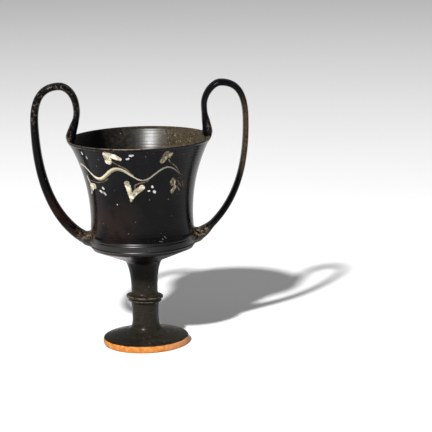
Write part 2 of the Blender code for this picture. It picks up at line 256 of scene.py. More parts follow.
STROKES = {
    "stems": {
        "tint": (112, 98, 80),
        "worn_tint": (66, 58, 48),
        "wear": 0.36,
        "kept": 0.45,
        "edge": 0.22,
        "strokes": (
            ((-25.2, 180.0, 0.50), (-20.3, 176.8, 0.42)),
            ((-20.3, 176.8, 0.42), (-13.4, 173.1, 0.46)),
            ((-13.4, 173.1, 0.46), (-7.0, 166.7, 0.50)),
            ((-6.1, 152.3, 0.90), (-5.6, 157.5, 0.60)),
            ((-5.6, 157.5, 0.60), (-1.7, 159.2, 0.40)),
            ((-1.7, 159.2, 0.40), (5.8, 160.2, 0.44)),
            ((5.8, 160.2, 0.44), (11.6, 165.6, 0.44)),
            ((25.1, 180.1, 0.36), (27.0, 177.3, 0.36)),
            ((27.0, 177.3, 0.36), (33.1, 173.3, 0.36)),
            ((33.1, 173.3, 0.36), (40.8, 165.6, 0.30)),
            ((-62.5, 158.9, 0.34), (-48.9, 158.0, 0.36)),
            ((-48.9, 158.0, 0.36), (-38.7, 159.5, 0.40)),
            ((-38.7, 159.5, 0.40), (-32.8, 163.0, 0.34)),
        ),
    },
    "grey": {
        "tint": (128, 122, 116),
        "worn_tint": (84, 78, 72),
        "wear": 0.47,
        "kept": 0.30,
        "edge": 0.30,
        "strokes": (
            ((-74.6, 187.6, 1.00), (-64.1, 181.7, 1.10)),
            ((40.3, 157.6, 0.55), (44.8, 153.1, 0.40)),
            ((40.0, 152.4, 0.46), (44.3, 148.5, 0.36)),
            ((46.2, 156.7, 0.36), (49.1, 151.5, 0.34)),
            ((18.4, 104.9, 0.38), (22.0, 104.2, 0.24)),
            ((24.6, 108.3, 0.34), (26.2, 106.9, 0.26)),
            ((21.6, 106.6, 0.22), (22.6, 106.2, 0.22)),
        ),
    },
    "olive": {
        "tint": (152, 144, 118),
        "worn_tint": (92, 84, 66),
        "wear": 0.45,
        "kept": 0.35,
        "edge": 0.30,
        "strokes": (
            ((22.9, 185.2, 2.80), (19.7, 179.0, 2.20)),
            ((26.4, 184.8, 1.80), (25.7, 182.2, 1.20)),
            ((33.4, 160.6, 1.10), (31.6, 158.0, 1.20)),
            ((31.6, 158.0, 1.20), (33.2, 155.2, 1.10)),
            ((33.4, 160.6, 1.00), (35.8, 158.6, 0.80)),
            ((35.8, 158.6, 0.80), (36.4, 154.2, 1.10)),
            ((37.0, 152.8, 1.60), (34.1, 149.1, 2.00)),
        ),
    },
    "cream": {
        "tint": (208, 199, 176),
        "worn_tint": (142, 132, 114),
        "wear": 0.46,
        "kept": 0.42,
        "edge": 0.26,
        "strokes": (
            ((-28.7, 186.6, 2.40), (-27.9, 180.2, 3.20)),
            ((-13.7, 159.0, 2.50), (-10.2, 147.0, 2.30)),
            ((-10.2, 146.6, 1.80), (-11.3, 142.3, 0.70)),
            ((1.2, 155.0, 2.50), (-5.5, 150.8, 2.40)),
            ((-5.5, 150.8, 2.40), (-9.7, 145.6, 1.40)),
            ((-60.5, 153.4, 2.90), (-54.5, 153.9, 2.60)),
            ((-59.5, 152.5, 2.80), (-64.4, 146.6, 1.30)),
        ),
    },
    "pink": {
        "tint": (214, 204, 188),
        "worn_tint": (168, 154, 138),
        "wear": 0.42,
        "kept": 0.60,
        "edge": 0.24,
        "strokes": (
            ((-26.4, 186.4, 1.80), (-21.4, 184.4, 2.40)),
            ((-21.4, 184.4, 2.40), (-17.0, 182.3, 1.50)),
            ((-64.8, 162.0, 0.70), (-61.3, 154.5, 1.10)),
        ),
    },
    "dots": {
        "tint": (196, 196, 192),
        "worn_tint": (146, 146, 142),
        "wear": 0.38,
        "kept": 0.60,
        "edge": 0.24,
        "strokes": (
            ((-8.0, 185.6, 0.92), (-5.8, 185.8, 0.92)),
            ((-11.3, 182.3, 0.76), (-9.4, 182.7, 0.76)),
            ((-56.2, 185.7, 0.67), (-55.8, 184.0, 0.67)),
            ((-51.6, 182.1, 0.67), (-51.4, 180.5, 0.59)),
            ((-42.0, 153.4, 1.05), (-41.0, 153.0, 1.01)),
            ((-46.2, 150.3, 1.01), (-44.3, 149.4, 1.01)),
            ((-41.4, 149.0, 0.92), (-39.5, 147.5, 0.76)),
            ((11.2, 155.4, 1.01), (11.8, 154.9, 1.01)),
            ((13.5, 150.9, 1.18), (14.4, 149.9, 1.09)),
            ((7.4, 151.6, 0.67), (8.5, 151.6, 0.67)),
            ((-26.8, 139.4, 0.42), (-26.6, 138.9, 0.42)),
        ),
    },
}

# Where the cup is worn, stained or soiled, and where reflection, sheen and highlights are painted, in mm
# up and degrees round
LIP_MM = LIP_HEIGHT * 1000.0
UNDERSIDE_HEIGHTS = (79.0, 92.0)
RUBBED_KEEL_HEIGHTS = (93.2, 103.4)
ROOT_SOIL_HEIGHTS = (92.0, 118.0)
LIP_SOIL_HEIGHTS = (186.0, 206.0)
RIGHT_LIMB_HEIGHTS = (140.0, 222.0)
LEFT_ARCH_HEIGHTS = (208.0, 250.0)
FADED_LEAF_HEIGHTS = (147.0, 163.0)
FADED_LEAF_TURNS = (38.0, 50.0)

# Screen colours of clay, glaze, wear and dirt, and of painted shade, reflections and highlights
TINTS = {
    "gloss_dark": (3, 3, 3),
    "gloss_light": (9, 8, 7),
    "gloss_brown": (32, 18, 15),
    "painted_blue_reflection": (12, 13, 22),
    "turning_line": (38, 34, 30),
    "upper_stem_shade_dark": (4, 4, 3),
    "upper_stem_shade_light": (17, 15, 13),
    "stem_low_dark": (22, 20, 16),
    "stem_low_light": (42, 38, 31),
    "foot_left": (16, 14, 12),
    "inside_dark": (12, 11, 9),
    "inside_light": (44, 40, 32),
    "painted_shade_inside": (3, 3, 3),
    "stain": (84, 72, 52),
    "crust": (160, 144, 112),
    "underside_reflection": (104, 94, 94),
    "soil_dark": (52, 36, 25),
    "soil_light": (146, 128, 104),
    "painted_limb_sheen": (88, 72, 54),
    "arch_wear_and_highlight": (138, 122, 102),
    "faded_leaf": (112, 82, 62),
    "ring_wear_and_highlight": (128, 114, 96),
    "scuff": (150, 140, 128),
    "lip_wear_and_highlight": (126, 108, 88),
    "clay_dark": (164, 98, 42),
    "clay_light": (194, 130, 68),
    "clay_pale": (222, 160, 118),
    "clay_dirt": (150, 90, 44),
    "vine_shadow": (86, 80, 56),
}

# Fineness of the shown mesh
TURN_SEGMENTS = 192
SEAM_NEAREST_SIDE = 0.035
SEAM_TOUCHING = 0.00002
SEAM_PULL = 0.6
SEAM_WEIGHT = 1.6
PROFILE_SPACING = 0.0016
FINE_SPACING = 0.00045
LIMB_STEPS = 84
HEEL_STEPS = 18
ARCH_STEPS = 26
NECK_STEPS = 32
SEAM_REACH = 0.0065
SEAM_ROUNDS = 14


def bezier(start, lead, trail, end, steps):
    points = []
    for k in range(1, steps + 1):
        t = k / steps
        s = 1.0 - t
        weights = (s * s * s, 3 * s * s * t, 3 * s * t * t, t * t * t)
        corners = (start, lead, trail, end)
        radius = sum(w * c[0] for w, c in zip(weights, corners))
        height = sum(w * c[1] for w, c in zip(weights, corners))
        points.append((radius, height))
    return points


def wall_radius(height):
    if height >= WAIST_HEIGHT:
        rise = (height - WAIST_HEIGHT) / (LIP_HEIGHT - WAIST_HEIGHT)
        spread = LIP_RADIUS - LIP_BEAD_OVERHANG * 0.5 - WAIST_RADIUS
        return WAIST_RADIUS + spread * rise ** WALL_FLARE_POWER
    drop = (WAIST_HEIGHT - height) / (WAIST_HEIGHT - GROOVE_HEIGHT)
    return WAIST_RADIUS + (BASE_WALL_RADIUS - WAIST_RADIUS) * min(1.0, drop) ** 2


def wall_thickness(height):
    share = (height - INNER_WALL_END) / (LIP_HEIGHT - INNER_WALL_END)
    return WALL_AT_FLOOR + (WALL_AT_LIP - WALL_AT_FLOOR) * share


def foot_profile():
    hollow = [
        (0.0, FOOT_HOLLOW_HEIGHT),
        (FOOT_HOLLOW_TOP_RADIUS, FOOT_HOLLOW_HEIGHT * 0.94),
        (REST_RING_INNER - FOOT_HOLLOW_LIP, FOOT_HOLLOW_LIP_HEIGHT),
        (REST_RING_INNER - REST_RING_EDGE, 0.5 * REST_RING_EDGE),
        (REST_RING_INNER, 0.0),
        (REST_RING_OUTER - REST_RING_EDGE, 0.0),
    ]
    band = bezier(
        (REST_RING_OUTER - REST_RING_EDGE, 0.0),
        (FOOT_RADIUS - 0.0004, 0.0),
        (FOOT_RADIUS, FOOT_BAND_HEIGHT * 0.25),
        (FOOT_RADIUS, FOOT_BAND_HEIGHT * 0.5),
        6,
    )
    band += bezier(
        (FOOT_RADIUS, FOOT_BAND_HEIGHT * 0.5),
        (FOOT_RADIUS, FOOT_BAND_HEIGHT * 0.75),
        (FOOT_RADIUS - 0.0002, FOOT_BAND_HEIGHT * 0.97),
        (FOOT_RADIUS - FOOT_BAND_ROUND, FOOT_BAND_HEIGHT),
        6,
    )
    slope = [
        (FOOT_SLOPE_RADIUS, 0.5 * (FOOT_BAND_HEIGHT + FOOT_TOP_HEIGHT) - FOOT_SLOPE_SAG),
        (FOOT_TOP_RADIUS, FOOT_TOP_HEIGHT),
    ]
    rise = bezier(
        (FOOT_TOP_RADIUS, FOOT_TOP_HEIGHT),
        (FOOT_TOP_RADIUS - FOOT_TOP_REACH, FOOT_TOP_HEIGHT + FOOT_TOP_RISE),
        (LOWER_STEM_RADIUS + LOWER_STEM_SWELL, LOWER_STEM_HEIGHT - LOWER_STEM_REACH),
        (LOWER_STEM_RADIUS, LOWER_STEM_HEIGHT),
        14,
    )
    return hollow + band + slope + rise


def stem_profile():
    crest = 0.0004
    points = [
        (LOWER_STEM_RADIUS + LOWER_STEM_SWELL, 0.5 * (LOWER_STEM_HEIGHT + RING_SEAT_HEIGHT)),
        (RING_SEAT_RADIUS, RING_SEAT_HEIGHT),
    ]
    points += bezier(
        points[-1],
        (RING_SEAT_RADIUS + 0.0014, RING_SEAT_HEIGHT + 0.0004),
        (LOWER_RIDGE_RADIUS, LOWER_RIDGE_HEIGHT - 0.0012),
        (LOWER_RIDGE_RADIUS, LOWER_RIDGE_HEIGHT),
        6,
    )
    points += bezier(
        points[-1],
        (LOWER_RIDGE_RADIUS, LOWER_RIDGE_HEIGHT + 0.0006),
        (RING_CREASE_RADIUS + 0.0003, RING_CREASE_HEIGHT - crest),
        (RING_CREASE_RADIUS, RING_CREASE_HEIGHT),
        4,
    )
    points += bezier(
        points[-1],
        (UPPER_RIDGE_RADIUS - 0.0009, RING_CREASE_HEIGHT + crest),
        (UPPER_RIDGE_RADIUS, UPPER_RIDGE_HEIGHT - 0.0010),
        (UPPER_RIDGE_RADIUS, UPPER_RIDGE_HEIGHT),
        5,
    )
    points += bezier(
        points[-1],
        (UPPER_RIDGE_RADIUS, UPPER_RIDGE_HEIGHT + 0.0011),
        (RING_SHOULDER_RADIUS + 0.0018, RING_SHOULDER_HEIGHT - 0.0013),
        (RING_SHOULDER_RADIUS, RING_SHOULDER_HEIGHT),
        7,
    )
    points += bezier(
        points[-1],
        (RING_SHOULDER_RADIUS - 0.0009, RING_SHOULDER_HEIGHT + 0.0006),
        (STEM_WAIST_RADIUS, STEM_WAIST_HEIGHT - 0.0016),
        (STEM_WAIST_RADIUS, STEM_WAIST_HEIGHT),
        5,
    )
    points += bezier(
        points[-1],
        (STEM_WAIST_RADIUS, STEM_WAIST_HEIGHT + STEM_WAIST_REACH),
        (STEM_TOP_RADIUS - STEM_TOP_LEAN, STEM_TOP_HEIGHT - STEM_TOP_REACH),
        (STEM_TOP_RADIUS, STEM_TOP_HEIGHT),
        20,
    )
    return points


def bowl_profile():
    points = bezier(
        (STEM_TOP_RADIUS, STEM_TOP_HEIGHT),
        (STEM_TOP_RADIUS + STEM_SPREAD, STEM_TOP_HEIGHT + STEM_SPREAD_RISE),
        (
            UNDERSIDE_INNER_RADIUS - UNDERSIDE_INNER_LEAD,
            UNDERSIDE_INNER_HEIGHT - UNDERSIDE_INNER_LEAD_DROP,
        ),
        (UNDERSIDE_INNER_RADIUS, UNDERSIDE_INNER_HEIGHT),
        7,
    )
    points.append((UNDERSIDE_OUTER_RADIUS, UNDERSIDE_OUTER_HEIGHT))
    points += [(KEEL_UNDERCUT_RADIUS + out, KEEL_UNDERCUT_HEIGHT + up) for out, up in UNDERCUT_SHAPE]
    points += [(KEEL_RADIUS + out, KEEL_HEIGHT + up) for out, up in KEEL_SHAPE]
    points.append((BASE_WALL_RADIUS - 0.0001, KEEL_HEIGHT + KEEL_TO_WALL_RISE))
    points += [(BASE_WALL_RADIUS + out, GROOVE_HEIGHT + up) for out, up in GROOVE_SHAPE]
    wall_start = GROOVE_HEIGHT + GROOVE_TO_WALL_RISE
    wall_end = LIP_HEIGHT - LIP_BEAD_HEIGHT
    steps = int((wall_end - wall_start) / PROFILE_SPACING)
    for k in range(steps + 1):
        height = wall_start + (wall_end - wall_start) * k / steps
        points.append((wall_radius(height), height))
    bead_low = (LIP_RADIUS - 0.0002, LIP_HEIGHT - 0.75 * LIP_BEAD_HEIGHT)
    bead_out = (LIP_RADIUS, LIP_HEIGHT - 0.4 * LIP_BEAD_HEIGHT)
    bead_in = (LIP_RADIUS - 0.0026, LIP_HEIGHT - 0.0009)
    points.append(bead_low)
    points.append(bead_out)
    points += bezier(
        bead_out,
        (LIP_RADIUS, LIP_HEIGHT + 0.0001),
        (LIP_RADIUS - 0.0022, LIP_HEIGHT + 0.0003),
        bead_in,
        6,
    )
    inner_start = LIP_HEIGHT - 0.0018
    steps = int((inner_start - INNER_WALL_END) / PROFILE_SPACING)
    for k in range(steps + 1):
        height = inner_start + (INNER_WALL_END - inner_start) * k / steps
        points.append((wall_radius(height) - wall_thickness(height), height))
    last = points[-1]
    points += bezier(
        last,
        (last[0], last[1] - INNER_WALL_REACH),
        (FLOOR_EDGE_RADIUS + FLOOR_EDGE_REACH, FLOOR_EDGE_HEIGHT + FLOOR_EDGE_LIFT),
        (FLOOR_EDGE_RADIUS, FLOOR_EDGE_HEIGHT),
        8,
    )
    points += [(FLOOR_MIDDLE_RADIUS, FLOOR_MIDDLE_HEIGHT), (0.0, FLOOR_MIDDLE_HEIGHT - FLOOR_MIDDLE_DIP)]
    return points


def spaced(profile, longest):
    """Adds points along straight stretches, closer together at the groove and the keel."""
    out = [profile[0]]
    for (r0, h0), (r1, h1) in zip(profile, profile[1:]):
        fine = r1 > BASE_WALL_RADIUS * 0.97 and KEEL_UNDERCUT_HEIGHT < h1 < GROOVE_HEIGHT + 0.003
        step = FINE_SPACING if fine else longest
        pieces = max(1, math.ceil(math.hypot(r1 - r0, h1 - h0) / step))
        for k in range(1, pieces + 1):
            t = k / pieces
            out.append((r0 + (r1 - r0) * t, h0 + (h1 - h0) * t))
    return out


def smooth_step(low, high, value):
    share = min(1.0, max(0.0, (value - low) / (high - low)))
    return share * share * (3.0 - 2.0 * share)


def smeared_radius(radius, height, angle):
    """Turned radius, with the groove filled where the clay of the handles was smeared over it."""
    if abs(height - GROOVE_HEIGHT) < 2.0 * GROOVE_WIDTH and radius > BASE_WALL_RADIUS * 0.96:
        from_handle = math.degrees(math.acos(min(1.0, abs(math.cos(angle)))))
        depth = BASE_WALL_RADIUS - radius
        return BASE_WALL_RADIUS - depth * smooth_step(30.0, 44.0, from_handle)
    return radius


def hand_wobble(radius, height, angle):
    """The slight unevenness of a pot that was turned, lifted off and dried by hand."""
    lift = smooth_step(0.02, 0.19, height)
    sway = 0.00022 * math.sin(2.0 * angle + 0.7) + 0.00012 * math.sin(3.0 * angle + 2.1)
    rings = 0.00006 * math.sin(height * 2300.0 + 0.4 * math.sin(angle)) * smooth_step(0.1, 0.13, height)
    return radius + (sway * lift + rings) * smooth_step(0.004, 0.02, radius) - 0.00028 * lift


def ring_sag(x, height):
    """The moulded ring runs a little lower on the right."""
    share = smooth_step(*RING_TILT_STARTS, height) * (1.0 - smooth_step(*RING_TILT_ENDS, height))
    return RING_TILT * x * share


def turned_body(profile):
    mesh = bmesh.new()
    rings = []
    for radius, height in profile:
        if radius == 0.0:
            rings.append([mesh.verts.new((0.0, 0.0, height))])
            continue
        ring = []
        for k in range(TURN_SEGMENTS):
            angle = 2.0 * math.pi * (k + 0.5) / TURN_SEGMENTS
            r = hand_wobble(smeared_radius(radius, height, angle), height, angle)
            x = r * math.cos(angle)
            ring.append(mesh.verts.new((x, r * math.sin(angle), height - ring_sag(x, height))))
        rings.append(ring)
    for lower, upper in zip(rings, rings[1:]):
        for k in range(TURN_SEGMENTS):
            following = (k + 1) % TURN_SEGMENTS
            if len(lower) == 1:
                mesh.faces.new((lower[0], upper[following], upper[k]))
            elif len(upper) == 1:
                mesh.faces.new((lower[k], lower[following], upper[0]))
            else:
                mesh.faces.new((lower[k], lower[following], upper[following], upper[k]))
    return mesh


def stepped(place, length, angle):
    """The point a given length away from a place, at an angle above the level."""
    return (place[0] + length * math.cos(angle), place[1] + length * math.sin(angle))


def handle_path(handle):
    """The middle line of a strap in (radius, height), from the lip, over the crown, to the low wall."""
    lip = (LIP_RADIUS - LIP_END_INSET, LIP_HEIGHT - LIP_END_DROP)
    neck = (LIP_RADIUS + handle["neck_out"], LIP_HEIGHT + handle["neck_rise"])
    crown = (LIP_RADIUS + handle["crown_out"], LIP_HEIGHT + handle["crown_rise"])
    shoulder = (LIP_RADIUS + handle["shoulder_out"], LIP_HEIGHT + handle["shoulder_rise"])
    root = (BASE_WALL_RADIUS - ROOT_END_INSET, KEEL_HEIGHT + ROOT_END_RISE)
    heel = (BASE_WALL_RADIUS + HEEL_OUT, KEEL_HEIGHT + HEEL_RISE)
    path = [lip]
    leave_lip = (lip[0] + LIP_END_LEAN, lip[1] + handle["lip_reach"])
    below_neck = (neck[0], neck[1] - handle["neck_reach_down"])
    above_neck = (neck[0], neck[1] + handle["neck_reach_up"])
    before_crown = (crown[0] - handle["crown_reach_in"], crown[1])
    after_crown = (crown[0] + handle["crown_reach_out"], crown[1])
    above_shoulder = (shoulder[0], shoulder[1] + handle["shoulder_reach_up"])
    below_shoulder = (shoulder[0], shoulder[1] - handle["shoulder_reach_down"])
    above_heel = stepped(heel, handle["heel_reach"], HEEL_ANGLE)
    below_heel = stepped(heel, -HEEL_REACH, HEEL_ANGLE)
    near_root = stepped(root, HEEL_REACH, ROOT_ANGLE)
    path += bezier(lip, leave_lip, below_neck, neck, NECK_STEPS)
    path += bezier(neck, above_neck, before_crown, crown, ARCH_STEPS)
    path += bezier(crown, after_crown, above_shoulder, shoulder, ARCH_STEPS)
    path += bezier(shoulder, below_shoulder, above_heel, heel, LIMB_STEPS)
    path += bezier(heel, below_heel, near_root, root, HEEL_STEPS)
    return path


def eased(table, place):
    """Interpolation in a short table of (place, value) pairs, with soft starts and stops."""
    for (a, low), (b, high) in zip(table, table[1:]):
        if place <= b:
            t = (place - a) / (b - a)
            return low + (high - low) * (0.5 * t + 0.5 * t * t * (3.0 - 2.0 * t))
    return table[-1][1]


def path_lengths(path):
    lengths = [0.0]
    for (r0, h0), (r1, h1) in zip(path, path[1:]):
        lengths.append(lengths[-1] + math.hypot(r1 - r0, h1 - h0))
    return lengths


def handle_sizes(handle, path):
    """Thickness and width of the strap at each point of its path."""
    along = path_lengths(path)
    whole = along[-1]
    knuckle = next(s for s, point in zip(along, path) if point[1] >= path[0][1] + KNUCKLE_RISE)
    neck = along[NECK_STEPS]
    crown = along[NECK_STEPS + ARCH_STEPS]
    shoulder = along[NECK_STEPS + 2 * ARCH_STEPS]
    below_neck = 0.5 * (KNUCKLE_THICKNESS + handle["neck_thickness"])
    mid_limb = 0.5 * (handle["shoulder_thickness"] + handle["limb_thickness"])
    heel = along[-1 - HEEL_STEPS]
    thickness = [
        (0.0, LIP_END_THICKNESS),
        (knuckle, KNUCKLE_THICKNESS),
        (knuckle + 0.4 * (neck - knuckle), below_neck),
        (knuckle + 0.75 * (neck - knuckle), handle["neck_thickness"]),
        (neck, handle["neck_thickness"]),
        (crown, handle["crown_thickness"]),
        (shoulder, handle["shoulder_thickness"]),
        (whole - LIMB_MIDDLE_LENGTH, mid_limb),
        (heel - HEEL_REACH, handle["limb_thickness"]),
        (whole - SPLAY_LENGTH, SPLAY_THICKNESS),
        (whole - ROOT_LENGTH, ROOT_THICKNESS),
        (whole, ROOT_END_THICKNESS),
    ]
    width = [
        (0.0, LIP_END_WIDTH),
        (knuckle, KNUCKLE_WIDTH),
        (neck, STRAP_WIDTH),
        (heel - LIMB_TAPER_LENGTH, STRAP_WIDTH),
        (heel, HEEL_WIDTH),
        (whole - SPLAY_LENGTH, SPLAY_WIDTH),
        (whole - ROOT_LENGTH, ROOT_WIDTH),
        (whole, ROOT_END_WIDTH),
    ]
    return [(eased(thickness, s), eased(width, s)) for s in along]


def section(index):
    angle = 2.0 * math.pi * index / HANDLE_SECTION_POINTS
    power = 2.0 / HANDLE_SECTION_SQUARENESS
    across = math.copysign(abs(math.cos(angle)) ** power, math.cos(angle))
    along = math.copysign(abs(math.sin(angle)) ** power, math.sin(angle))
    return across, along


def strap_handle(handle):
    path = handle_path(handle)
    sizes = handle_sizes(handle, path)
    mesh = bmesh.new()
    rings = []
    for k, (radius, height) in enumerate(path):
        before = path[max(0, k - 1)]
        after = path[min(len(path) - 1, k + 1)]
        heading = Vector((after[0] - before[0], after[1] - before[1])).normalized()
        thickness, width = sizes[k]
        ring = []
        for m in range(HANDLE_SECTION_POINTS):
            across, along = section(m)
            half = 0.5 * thickness - HANDLE_SKIN
            r = radius + heading[1] * across * half
            z = height - heading[0] * across * half
            ring.append(mesh.verts.new((handle["side"] * r, along * width * 0.5, z)))
        rings.append(ring)
    for lower, upper in zip(rings, rings[1:]):
        for m in range(HANDLE_SECTION_POINTS):
            following = (m + 1) % HANDLE_SECTION_POINTS
            mesh.faces.new((lower[m], lower[following], upper[following], upper[m]))
    mesh.faces.new(rings[0])
    mesh.faces.new(rings[-1])
    return mesh


def as_object(mesh, name):
    bmesh.ops.recalc_face_normals(mesh, faces=mesh.faces)
    data = bpy.data.meshes.new(name)
    mesh.to_mesh(data)
    mesh.free()
    made = bpy.data.objects.new(name, data)
    bpy.context.scene.collection.objects.link(made)
    return made


def surface_tree(thing):
    mesh = bmesh.new()
    mesh.from_mesh(thing.data)
    tree = BVHTree.FromBMesh(mesh)
    mesh.free()
    return tree


def join_solid(base, added):
    union = base.modifiers.new("join", "BOOLEAN")
    union.operation = "UNION"
    union.solver = "EXACT"
    union.object = added
    graph = bpy.context.evaluated_depsgraph_get()
    joined = bpy.data.meshes.new_from_object(base.evaluated_get(graph))
    base.modifiers.clear()
    base.data = joined
    bpy.data.objects.remove(added, do_unlink=True)


def soften_seams(cup, body_tree, handle_trees):
    """Smears the clay where the handles were pressed onto the bowl, so no hard line is left."""
    mesh = bmesh.new()
    mesh.from_mesh(cup.data)
    bmesh.ops.triangulate(mesh, faces=[f for f in mesh.faces if len(f.verts) > 4])
    seam = []
    for vert in mesh.verts:
        if abs(vert.co.x) < SEAM_NEAREST_SIDE:
            continue
        if body_tree.find_nearest(vert.co)[3] > SEAM_TOUCHING:
            continue
        if any(tree.find_nearest(vert.co)[3] < SEAM_TOUCHING for tree in handle_trees):
            seam.append(vert.co.copy())
    lookup = KDTree(len(seam))
    for k, place in enumerate(seam):
        lookup.insert(place, k)
    lookup.balance()
    weights = {}
    for vert in mesh.verts:
        if abs(vert.co.x) < SEAM_NEAREST_SIDE - SEAM_REACH:
            continue
        distance = lookup.find(vert.co)[2]
        if distance < SEAM_REACH:
            share = 1.0 - distance / SEAM_REACH
            weights[vert] = min(1.0, SEAM_WEIGHT * share * share * (3.0 - 2.0 * share))
    for _ in range(SEAM_ROUNDS):
        moved = {}
        for vert, weight in weights.items():
            near = [edge.other_vert(vert).co for edge in vert.link_edges]
            middle = sum(near, Vector()) / len(near)
            moved[vert] = vert.co.lerp(middle, SEAM_PULL * weight)
        for vert, place in moved.items():
            vert.co = place
    bmesh.ops.recalc_face_normals(mesh, faces=mesh.faces)
    mesh.to_mesh(cup.data)
    mesh.free()


def make_cup():
    profile = spaced(foot_profile() + stem_profile() + bowl_profile(), PROFILE_SPACING)
    cup = as_object(turned_body(profile), "cup")
    body_tree = surface_tree(cup)
    handle_trees = []
    for handle, name in ((LEFT_HANDLE, "left_strap"), (RIGHT_HANDLE, "right_strap")):
        strap = as_object(strap_handle(handle), name)
        handle_trees.append(surface_tree(strap))
        join_solid(cup, strap)
    soften_seams(cup, body_tree, handle_trees)
    for face in cup.data.polygons:
        face.use_smooth = True
    return cup


def plain_material(name, colour, roughness):
    material = bpy.data.materials.new(name)
    material.use_nodes = True
    shader = material.node_tree.nodes["Principled BSDF"]
    shader.inputs["Base Color"].default_value = (*colour, 1.0)
    shader.inputs["Roughness"].default_value = roughness
    return material


def screen_colour(red, green, blue):
    """Linear colour from 0 to 255 screen values."""
    given = (red, green, blue)
    return tuple(((v / 255.0 + 0.055) / 1.055) ** 2.4 if v > 10 else v / 3294.6 for v in given)


class Shade:
    """Short names for the shader nodes that the glaze and the painting are made of."""

    def __init__(self, tree):
        self.tree = tree

    def node(self, kind, **settings):
        made = self.tree.nodes.new(kind)
        for name, value in settings.items():
            setattr(made, name, value)
        return made

    def feed(self, socket, value):
        if isinstance(value, bpy.types.NodeSocket):
            self.tree.links.new(value, socket)
        elif value is not None:
            socket.default_value = value

    def math(self, operation, a, b=None, c=None, clamp=False):
        made = self.node("ShaderNodeMath", operation=operation, use_clamp=clamp)
        for socket, value in zip(made.inputs, (a, b, c)):
            self.feed(socket, value)
        return made.outputs[0]

    def times(self, first, *others):
        for other in others:
            first = self.math("MULTIPLY", first, other)
        return first

    def minus(self, a, b):
        return self.math("SUBTRACT", a, b)

    def larger(self, a, b):
        return self.math("MAXIMUM", a, b)

    def scaled(self, a, b, c, clamp=False):
        """a times b, plus c."""
        return self.math("MULTIPLY_ADD", a, b, c, clamp)

    def step(self, value, low, high):
        """Soft step from 0 at low to 1 at high."""
        made = self.node("ShaderNodeMapRange", interpolation_type="SMOOTHSTEP")
        for name, given in (("Value", value), ("From Min", low), ("From Max", high)):
            self.feed(made.inputs[name], given)
        return made.outputs["Result"]

    def band(self, value, low, high, edge):
        """1 between low and high, with soft edges."""
        rise = self.step(value, low - edge, low + edge)
        fall = self.step(value, high + edge, high - edge)
        return self.times(rise, fall)

    def noise(self, place, scale, detail=3.0, rough=0.55):
        made = self.node("ShaderNodeTexNoise")
        self.feed(made.inputs["Vector"], place)
        made.inputs["Scale"].default_value = scale
        made.inputs["Detail"].default_value = detail
        made.inputs["Roughness"].default_value = rough
        return made.outputs["Fac"]

    def specks(self, place, scale, size):
        """Small separate dots, 1 in each dot."""
        made = self.node("ShaderNodeTexVoronoi")
        self.feed(made.inputs["Vector"], place)
        made.inputs["Scale"].default_value = scale
        return self.step(made.outputs["Distance"], size, size * 0.5)

    def join(self, x, y, z):
        made = self.node("ShaderNodeCombineXYZ")
        for socket, value in zip(made.inputs, (x, y, z)):
            self.feed(socket, value)
        return made.outputs[0]

    def blend(self, share, under, over):
        made = self.node("ShaderNodeMix", data_type="RGBA")
        self.feed(made.inputs[0], share)
        for socket, value in ((made.inputs[6], under), (made.inputs[7], over)):
            self.feed(socket, (*value, 1.0) if isinstance(value, tuple) else value)
        return made.outputs[2]

    def tint(self, name):
        return screen_colour(*TINTS[name])

    def two_tints(self, share, dark, light):
        return self.blend(share, self.tint(dark), self.tint(light))

    def lay(self, under, mask, strength, name):
        """A named tint over a colour where the mask is 1, at a strength from 0 to 1."""
        share = mask if strength == 1.0 else self.times(mask, strength)
        return self.blend(share, under, self.tint(name))

    def ramp(self, value, stops):
        """Colour ramp over stops of (place, colour)."""
        made = self.node("ShaderNodeValToRGB")
        self.feed(made.inputs[0], value)
        elements = made.color_ramp.elements
        while len(elements) < len(stops):
            elements.new(0.5)
        for element, (place, colour) in zip(elements, stops):
            element.position = place
            element.color = (*colour, 1.0)
        return made.outputs[0]


class Wall:
    """Place on the bowl wall, unrolled: degrees round from the middle of a side, and mm up."""

    def __init__(self, shade):
        self.place = shade.node("ShaderNodeTexCoord").outputs["Object"]
        split = shade.node("ShaderNodeSeparateXYZ")
        shade.feed(split.inputs[0], self.place)
        self.x, self.y, z = split.outputs
        self.height = shade.times(z, 1000.0)
        flat = shade.times(self.x, self.x)
        flat = shade.scaled(self.y, self.y, flat)
        self.radius = shade.times(shade.math("SQRT", flat), 1000.0)
        turn = shade.math("ARCTAN2", self.x, shade.times(self.y, -1.0))
        self.turn = shade.times(turn, 180.0 / math.pi)
        self.side_turn = shade.math("WRAP", self.turn, 90.0, -90.0)


def stroke(shade, across, up, start, end):
    """Signed reach inside a brush stroke: a capsule from (degrees, mm, half width) to the same."""
    ax, ay = start[0] * PAINT_MM_PER_DEGREE, start[1]
    ex, ey = end[0] * PAINT_MM_PER_DEGREE - ax, end[1] - ay
    inverse = 1.0 / (ex * ex + ey * ey)
    du = shade.minus(across, ax)
    dv = shade.minus(up, ay)
    t = shade.times(du, ex * inverse)
    t = shade.scaled(dv, ey * inverse, t, clamp=True)
    gap_across = shade.scaled(t, -ex, du)
    gap_up = shade.scaled(t, -ey, dv)
    gap = shade.times(gap_up, gap_up)
    gap = shade.math("SQRT", shade.scaled(gap_across, gap_across, gap))
    width = shade.scaled(t, end[2] - start[2], start[2])
    return shade.minus(width, gap)


def strokes(shade, across, up, listed):
    """The greatest reach of the strokes. Each waits for the last, so that few values are held at once."""
    reach = stroke(shade, across, up, *listed[0])
    for start, end in listed[1:]:
        next_across = shade.scaled(reach, 0.0, across)
        next_up = shade.scaled(reach, 0.0, up)
        reach = shade.larger(reach, stroke(shade, next_across, next_up, start, end))
    return reach


